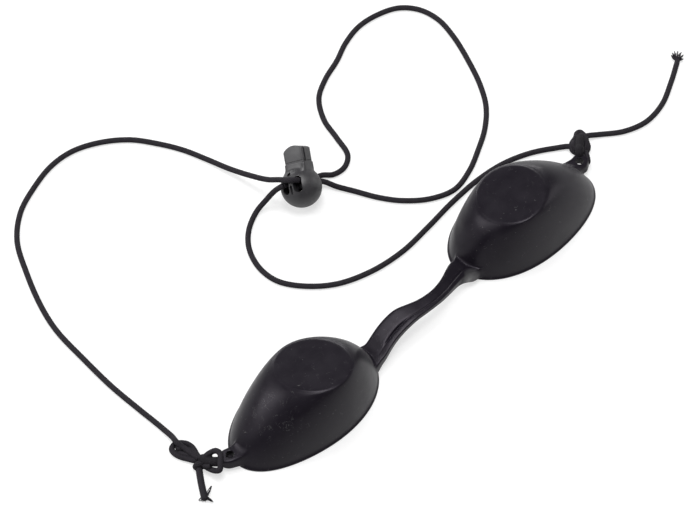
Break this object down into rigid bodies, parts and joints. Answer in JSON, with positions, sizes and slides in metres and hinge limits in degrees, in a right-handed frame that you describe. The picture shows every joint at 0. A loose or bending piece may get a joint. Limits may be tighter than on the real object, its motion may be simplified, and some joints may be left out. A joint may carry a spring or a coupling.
{
  "type": "eye guard goggles",
  "caption": "Opaque eye cups on a flexible nose strap with an elastic head cord, knotted at the lugs and drawn tight by a sliding push lock.",
  "frame": {"origin": "middle of the space between the two cups, on the plane of their rims", "axes": "+X from the left cup to the right cup as seen in the picture, +Y towards the brow, +Z out of the cups' fronts; the rims lie on z = 0"},
  "size_m": [0.1837, 0.1126, 0.0188],
  "materials": {
    "moulding": "satin black soft plastic, one moulding",
    "cord": "black braided elastic cord",
    "lock": "dark grey moulded plastic with a light bloom",
    "spring_wire": "bright drawn wire"
  },
  "bodies": {
    "root": {"bridge_crown": "moulding", "bridge_arm_left": "moulding", "bridge_arm_right": "moulding", "lock_barrel": "lock", "lock_spring": "spring_wire", "cord_left_run": "cord", "cord_loop": "cord", "cord_right_run": "cord", "cord_in_lock": "cord"},
    "left_cup": {"eyecup_left": "moulding", "knot_left": "cord", "tail_left": "cord"},
    "right_cup": {"eyecup_right": "moulding", "knot_right": "cord", "tail_right": "cord"},
    "plunger": {"lock_plunger": "lock"}
  },
  "joints": [
    {"name": "bridge_flex_left", "type": "hinge", "parent": "root", "child": "left_cup", "pos_m": [-0.0095, -0.0016, 0.0052], "axis": [0, 1, 0], "range_deg": [-15, 30], "stiffness_Nm_per_rad": 0.05, "deforming": ["bridge_arm_left", "cord_left_run"]},
    {"name": "bridge_flex_right", "type": "hinge", "parent": "root", "child": "right_cup", "pos_m": [0.0095, -0.0018, 0.0052], "axis": [0, -1, 0], "range_deg": [-15, 30], "stiffness_Nm_per_rad": 0.05, "deforming": ["bridge_arm_right", "cord_right_run"]},
    {"name": "lock_press", "type": "slide", "parent": "root", "child": "plunger", "axis": [0.4435, 0.7682, 0.4618], "range_m": [-0.0022, 0], "stiffness_N_per_m": 100, "deforming": ["lock_spring"]}
  ]
}
